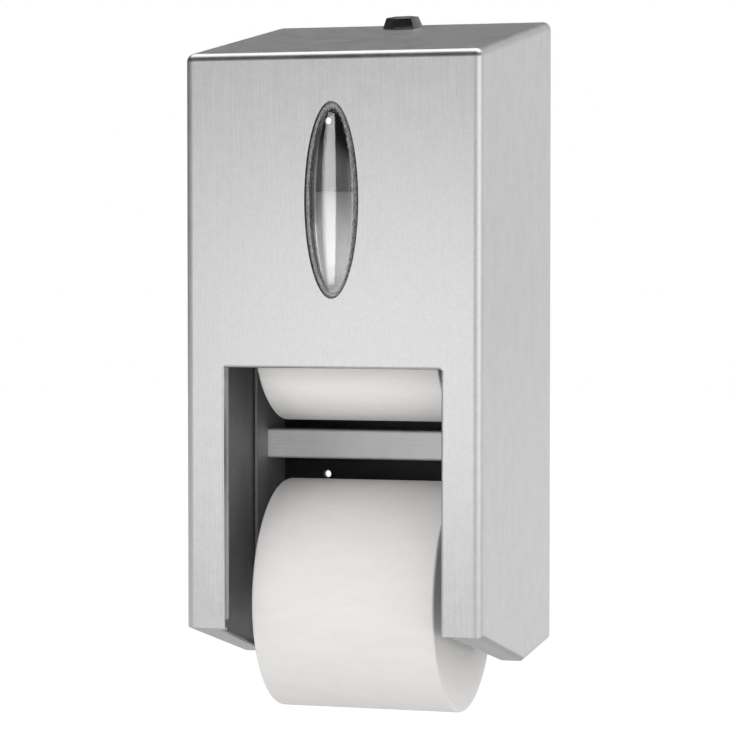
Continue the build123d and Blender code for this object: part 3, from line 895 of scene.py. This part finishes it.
@dataclass
class Lock:
    """The black cam lock on the cover's sloping top."""

    edge: float = 0.45 * MM
    edge_turn: float = 20.0
    black: Moulding = Moulding(
        "lock_black_enamel",
        (0.008, 0.008, 0.009),
        (0.02, 0.02, 0.022),
        roughness=0.2,
        grain_depth=0.004 * MM,
        coat=1.0,
    )
    nickel: BrushedSteel = BrushedSteel(
        "lock_nickel", (0.5, 0.48, 0.44), (0.66, 0.63, 0.58), roughness=0.25, stroke_length=2 * MM
    )
    zinc: BrushedSteel = BrushedSteel(
        "lock_zinc_steel", (0.42, 0.42, 0.41), (0.6, 0.6, 0.58), stroke_length=2 * MM
    )

    def build(self) -> None:
        """Softens the head's edges and dresses the rest."""
        head = Piece.copy_of("lock_housing", "lock_head")
        head.round_edges(self.edge, self.edge_turn)
        head.set_on("cover", "lock_black", self.black.material(), ("lock_housing",))
        dress(self.nickel.material(), "lock_barrel", "lock_nut")
        dress(self.zinc.material(), "lock_cam", "cam_screw", "lock_washer")


@dataclass
class Chassis:
    """Everything that stays on the wall: plate, liner, keeper, bar, brackets and bushes."""

    plate: DullSteel = DullSteel("plate_steel", (0.52, 0.52, 0.525), (0.68, 0.68, 0.685))
    bar: DullSteel = DullSteel(
        "bar_steel",
        (0.44, 0.44, 0.445),
        (0.58, 0.58, 0.585),
        grain=Axis.X,
        under_grain=Axis.X,
        dullness=0.5,
    )
    fixing: BrushedSteel = BrushedSteel(
        "fixing_steel", (0.42, 0.42, 0.42), (0.62, 0.62, 0.62), stroke_length=1 * MM
    )
    black: Moulding = Moulding("black_moulding", (0.006, 0.006, 0.006), (0.014, 0.014, 0.014))
    nylon: Moulding = Moulding("bush_nylon", (0.62, 0.61, 0.57), (0.74, 0.73, 0.69))
    head_radius: float = 3.5 * MM
    head_height: float = 2 * MM
    head_facets: int = 32
    dome_share: float = 0.55  # of the head's height, that its rounding takes
    dome_strips: int = 5
    shank_radius: float = 1.9 * MM
    recess_arm: float = 1.1 * MM
    recess_depth: float = 1.2 * MM
    rivet_edge: float = 0.6 * MM
    pin_edge: float = 0.9 * MM
    edge_turn: float = 40.0

    def screws(self, material: bpy.types.Material) -> None:
        """Models one pan-head screw with a cross recess and copies it to every place."""
        low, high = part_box("bracket_screws")
        feet = [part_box(f"{roll}_right_bracket") for roll in ("lower", "upper")]
        rows = [(foot[0].z + foot[1].z) / 2 for foot in feet]
        spread = rows[0] - low.z - self.head_radius
        head_x, head_back = high.x - self.head_radius, low.y + self.head_height
        first = Vector((head_x, (low.y + head_back) / 2, rows[0] - spread))
        screw = Piece.primitive(
            "bracket_screw_heads",
            bpy.ops.mesh.primitive_cylinder_add,
            vertices=self.head_facets,
            radius=self.head_radius,
            depth=self.head_height,
            location=tuple(first),
            rotation=(math.pi / 2, 0.0, 0.0),
        )
        with screw.edit():
            screw.select(Element.FACE, lambda f: f.normal.y > FACING)
            bpy.ops.mesh.inset(thickness=self.head_radius - self.shank_radius)
            screw.draw_out(high.y - head_back)
            screw.select(
                Element.EDGE, lambda e: all(v.co.y < low.y + SAME_PLACE for v in e.verts)
            )
            bpy.ops.mesh.bevel(
                offset=self.dome_share * self.head_height, segments=self.dome_strips
            )
        screw.cut(self.cross(first, low.y))
        copies = [
            screw.duplicate(f"screw_copy_{side}_{row:.3f}_{end}", place - first)
            for side in (1, -1)
            for row in rows
            for end in (-1, 1)
            if (place := Vector((side * head_x, first.y, row + end * spread))) != first
        ]
        screw.join(copies)
        screw.set_on("chassis", "fixing_steel", material, ("bracket_screws",))

    def cross(self, centre: Vector, front_y: float) -> Piece:
        """A tool in the shape of a cross recess, just through the head's front."""
        arm, depth = self.recess_arm, self.recess_depth
        tool = Piece.primitive(
            "recess_tool",
            bpy.ops.mesh.primitive_cube_add,
            size=arm,
            location=(centre.x, front_y + depth - arm / 2, centre.z),
        )
        with tool.edit():
            tool.select(Element.FACE, lambda f: abs(f.normal.y) < FACING)
            bpy.ops.mesh.extrude_faces_move(TRANSFORM_OT_shrink_fatten={"value": arm})
        return tool

    def soften(
        self, node: str, name: str, slot: str, material: bpy.types.Material, edge: float
    ) -> None:
        """Rounds a node's edges on a merged copy of it.

        Args:
            node: the CAD node.
            name: the piece's name.
            slot: the record's material slot.
            material: the piece's finish.
            edge: the rounding's width in metres.
        """
        piece = Piece.copy_of(node, name)
        piece.round_edges(edge, self.edge_turn)
        piece.set_on("chassis", slot, material, (node,))

    def build(self) -> None:
        """Makes the screws and rivets and dresses the other nodes."""
        plate, fixing, black = self.plate.material(), self.fixing.material(), self.black.material()
        dress(plate, "back_plate", "latch_keeper")
        dress(self.bar.material(), "cross_bar")
        self.screws(fixing)
        for held in ("keeper", "bar"):
            node, name = f"{held}_rivets", f"{held}_rivet_heads"
            self.soften(node, name, "fixing_steel", fixing, self.rivet_edge)
        self.soften("liner_pins", "liner_pin_heads", "black_moulding", black, self.pin_edge)
        sides = [f"{roll}_{side}" for roll in ("upper", "lower") for side in ("left", "right")]
        dress(black, "back_liner", *[f"{side}_bracket" for side in sides])
        dress(self.nylon.material(), "hinge_bushes")


@dataclass
class Roll:
    """One roll of tissue on its core and its two plugs."""

    name: str
    edge: float = 1.1 * MM
    edge_rings: int = 4
    turns: int = 200
    end_rings: int = 14
    short: float = 5 * MM  # an edge of the outline under this belongs to its rounding
    margin: float = 0.1 * MM
    uneven: float = 0.25 * MM
    dent_size: float = 28 * MM
    smooth: float = 40.0
    plug: Moulding = Moulding("plug_plastic", (0.5, 0.5, 0.49), (0.62, 0.62, 0.61), roughness=0.42)
    board: CoreBoard = CoreBoard("core_board")
    body: str = field(init=False)

    def __post_init__(self) -> None:
        """Names the body that the roll turns on."""
        self.body = f"{self.name}_roll"

    def dents(self) -> bpy.types.Texture:
        """Soft clouds that make the wound paper a little uneven."""
        clouds = bpy.data.textures.new(f"{self.name}_dents", "CLOUDS")
        clouds.noise_scale = self.dent_size
        return clouds

    def outline(self, piece: Piece, middle: Vector, half: float, depth: float) -> None:
        """Shapes a unit plane into the outline of the wound paper's section.

        The outer corners are rounded and the ends divided. Then the faces and the edges that
        cross the section go, so that only its outline is left to spin.

        Args:
            piece: the plane, in edit mode.
            middle: the section's middle.
            half: half its width along X.
            depth: its height along Z.
        """
        bpy.ops.mesh.select_all(action="SELECT")
        piece.stretch(middle, (2 * half, 1.0, depth))
        piece.select(Element.VERTEX, lambda v: v.co.z > middle.z + depth / 2 - self.margin)
        bpy.ops.mesh.bevel(offset=self.edge, segments=self.edge_rings, affect="VERTICES")
        piece.select(
            Element.EDGE, lambda e: run_along_x(e) < SAME_PLACE and e.calc_length() > self.short
        )
        bpy.ops.mesh.subdivide(number_cuts=self.end_rings)
        piece.select(Element.FACE, lambda f: True)
        bpy.ops.mesh.delete(type="ONLY_FACE")
        piece.select(
            Element.EDGE,
            lambda e: run_along_x(e) > half
            and abs(e.verts[0].co.z - middle.z) < depth / 2 - self.margin,
        )
        bpy.ops.mesh.delete(type="EDGE")

    def paper(self) -> None:
        """Spins the roll's section about its axis and sets it in the CAD ring's place."""
        node = f"{self.name}_roll_paper"
        low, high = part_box(node)
        core_low, core_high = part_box(f"{self.name}_roll_core")
        centre = (low + high) / 2
        outer = (high.z - low.z) / 2 - self.uneven
        inner = (core_high.z - core_low.z) / 2
        half = (high.x - low.x) / 2 - self.uneven
        middle = Vector((0.0, centre.y, centre.z + (outer + inner) / 2))
        piece = Piece.primitive(
            f"{self.name}_tissue",
            bpy.ops.mesh.primitive_plane_add,
            size=1.0,
            location=tuple(middle),
            rotation=(math.pi / 2, 0.0, 0.0),
        )
        with piece.edit():
            self.outline(piece, middle, half, outer - inner)
            piece.select(Element.EDGE, lambda e: True)
            bpy.ops.mesh.spin(
                steps=self.turns,
                angle=2 * math.pi,
                center=(0.0, centre.y, centre.z),
                axis=(1.0, 0.0, 0.0),
            )
            bpy.ops.mesh.select_all(action="SELECT")
            bpy.ops.mesh.remove_doubles(threshold=SAME_PLACE)
            bpy.ops.mesh.normals_make_consistent(inside=False)
        # The modifier moves a point by at most half its strength to either side.
        piece.modify(
            "DISPLACE", texture=self.dents(), strength=2 * self.uneven, texture_coords="LOCAL"
        )
        finish = Tissue(f"{self.name}_tissue_paper", centre.y, centre.z, half, outer)
        piece.set_on(self.body, "tissue", finish.material(), (node,), self.smooth)

    def build(self) -> None:
        """Makes the paper and dresses the core and the plugs."""
        self.paper()
        dress(self.board.material(), f"{self.name}_roll_core")
        dress(self.plug.material(), f"{self.name}_left_plug", f"{self.name}_right_plug")


@dataclass(frozen=True)
class Softbox:
    """A rectangular lamp and what its light reaches.

    Its place and size are in metres and its power in watts. only names the one piece it
    lights, and gloss says whether it shows in shiny surfaces.
    """

    name: str
    place: Triple
    size: tuple[float, float]
    watts: float
    gloss: bool = True
    only: str = ""

    def build(self, aim: Vector) -> None:
        """Hangs the lamp, facing the point aim."""
        data = bpy.data.lights.new(self.name, "AREA")
        data.shape = "RECTANGLE"
        data.size, data.size_y = self.size
        data.energy = self.watts
        lamp = bpy.data.objects.new(self.name, data)
        lamp.location = self.place
        lamp.rotation_euler = (aim - Vector(self.place)).to_track_quat("-Z", "Y").to_euler()
        lamp.visible_glossy = self.gloss
        bpy.context.scene.collection.objects.link(lamp)
        if self.only:
            group = bpy.data.collections.new(f"{self.name}_reach")
            group.objects.link(bpy.data.objects[self.only])
            lamp.light_linking.receiver_collection = group


@dataclass(frozen=True)
class Surroundings:
    """What shiny surfaces mirror: bright walls, a dim ceiling and a panel overhead.

    A zone is where it begins and is full, as parts of a direction along one axis: across is
    X, away is Y and up is Z. Levels are strengths, and gains and losses are added to them.
    """

    behind_zone: Span = (-0.2, 0.2)  # away
    front_right_zone: Span = (0.45, 0.75)  # across
    rear_right_zone: Span = (-0.1, 0.2)  # across
    beside_zone: Span = (-0.85, -0.4)  # across
    ceiling_zone: Span = (0.1, 0.24)  # up
    panel_zone: Span = (0.66, 0.8)  # up
    panel_front: Span = (-0.45, -0.1)  # away
    wall: float = 0.3
    beside_gain: float = 0.75
    front_right_gain: float = 1.5
    rear_left_loss: float = 0.2
    rear_beside_loss: float = 0.3
    rear_right_loss: float = 0.1
    ceiling: float = 0.05
    ceiling_behind_gain: float = 0.03
    ceiling_right_gain: float = 0.68
    panel_gain: float = 2.1

    def level(self, shader: Shader) -> Term:
        """The surroundings' strength in the direction that a world's shader looks in."""
        across, away, up = shader.axes(shader.place("Generated"))
        behind = away.step(*self.behind_zone)
        front_right = across.step(*self.front_right_zone) * (1 - behind)
        rear_right = across.step(*self.rear_right_zone) * behind
        rear_left = behind - rear_right
        beside = across.step(*self.beside_zone)
        walls = self.wall + self.beside_gain * beside + self.front_right_gain * front_right
        walls = walls - rear_left * (self.rear_left_loss + self.rear_beside_loss * beside)
        walls = walls - self.rear_right_loss * rear_right
        low = 1 - up.step(*self.ceiling_zone)
        panel = up.step(*self.panel_zone) * away.step(*self.panel_front)
        rear = self.ceiling_behind_gain + self.ceiling_right_gain * rear_right
        ceiling = self.ceiling + behind * rear + self.panel_gain * panel
        return ceiling + low * (walls - ceiling)


@dataclass
class Studio:
    """Pale floor, soft lights and a camera at the photograph's viewing angle."""

    camera_place: Triple = (0.47114, -1.63533, 0.02233)
    camera_turn: float = 16.94
    camera_pitch: float = -2.08
    lens_mm: float = 147.86
    sensor_mm: float = 36.0
    clip: Span = (0.05, 100.0)
    floor_z: float = -0.75
    floor_size: float = 30.0
    floor_albedo: float = 0.68
    floor_roughness: float = 0.9
    # painted light and shade: the floor glows, with no glow near the dispenser, so that the metal
    # mirrors a darker pool under it
    floor_glow: Span = (0.0, 0.45)
    painted_shade_reach: Span = (1.2, 3.5)
    room_light: float = 0.85
    around: Surroundings = Surroundings()
    lamp_aim: Triple = (0.0, -0.12, -0.02)
    lamps: tuple[Softbox, ...] = (
        Softbox("key_softbox", (-0.7, -2.0, 0.1), (1.3, 1.3), 9.0, gloss=False),
        Softbox("panel_softbox", (-0.27, -1.2, -0.06), (0.4, 0.3), 0.5),
        Softbox("lens_softbox", (-0.34, -1.2, 0.09), (0.5, 1.1), 8.5, only="domed_lens"),
        Softbox("bar_softbox", (0.22, -1.3, -0.08), (0.3, 0.3), 7.0, only="cross_bar"),
        Softbox("roll_softbox", (-0.3, -1.2, -0.02), (0.6, 0.8), 2.8, only="upper_tissue"),
        Softbox("window_softbox", (0.36, -1.25, 0.34), (0.4, 0.4), 5.0, only="upper_tissue"),
        Softbox("end_softbox", (1.4, -0.35, -0.55), (0.5, 0.5), 3.8, only="lower_tissue"),
    )

    def camera(self) -> None:
        """Places the camera."""
        data = bpy.data.cameras.new("camera")
        data.sensor_width = self.sensor_mm
        data.lens = self.lens_mm
        data.clip_start, data.clip_end = self.clip
        camera = bpy.data.objects.new("camera", data)
        camera.location = self.camera_place
        turn = (math.radians(90 + self.camera_pitch), 0.0, math.radians(self.camera_turn))
        camera.rotation_euler = turn
        bpy.context.scene.collection.objects.link(camera)
        bpy.context.scene.camera = camera

    def world(self) -> None:
        """White to the camera, even light on dull surfaces and the surroundings on shiny ones."""
        shader = Shader.world("studio")
        gloss = self.around.level(shader)
        shown = shader.ray("Is Camera Ray")
        shiny = shader.ray("Is Glossy Ray", "Is Transmission Ray")
        strength = shown + (1 - shown) * (self.room_light + shiny * (gloss - self.room_light))
        inputs = {"Color": (1.0, 1.0, 1.0, 1.0), "Strength": strength}
        light = shader.node("ShaderNodeBackground", None, inputs)
        bpy.context.scene.world = shader.finish(light)

    def floor(self) -> None:
        """Lays the floor, well under the dispenser. For camera, glossy and transmission rays it
        glows, less near the dispenser: a painted pool of shade that the metal mirrors.
        """
        floor = Piece.primitive(
            "floor",
            bpy.ops.mesh.primitive_plane_add,
            size=self.floor_size,
            location=(0.0, 0.0, self.floor_z),
        )
        shader = Shader.material("pale_floor")
        shown = shader.ray("Is Camera Ray", "Is Glossy Ray", "Is Transmission Ray")
        x, y, _ = shader.axes(shader.place())
        near, far = self.floor_glow
        # Painted shade: the glow is 0 near the dispenser and rises to full beyond this reach.
        away = (x * x + y * y).root().step(*self.painted_shade_reach)
        glow = shown * (near + (far - near) * away)
        paint = shader.principled(
            Base_Color=(*[self.floor_albedo] * 3, 1.0), Roughness=self.floor_roughness
        )
        glow = shader.node("ShaderNodeEmission", None, {"Strength": glow})
        both = shader.node("ShaderNodeAddShader", None, {0: paint, 1: glow})
        floor.obj.data.materials.append(shader.finish(both))

    def build(self) -> None:
        """Builds the whole studio."""
        self.camera()
        self.world()
        self.floor()
        for lamp in self.lamps:
            lamp.build(Vector(self.lamp_aim))
        bpy.context.scene.view_settings.view_transform = "Standard"


def main() -> None:
    """Builds every sub-assembly, then the studio."""
    logging.basicConfig(level=logging.INFO, format="%(name)s: %(message)s")
    for part in (Cover(), Window(), Lock(), Chassis(), Roll("upper"), Roll("lower"), Studio()):
        part.build()


if __name__ == "__main__":
    main()
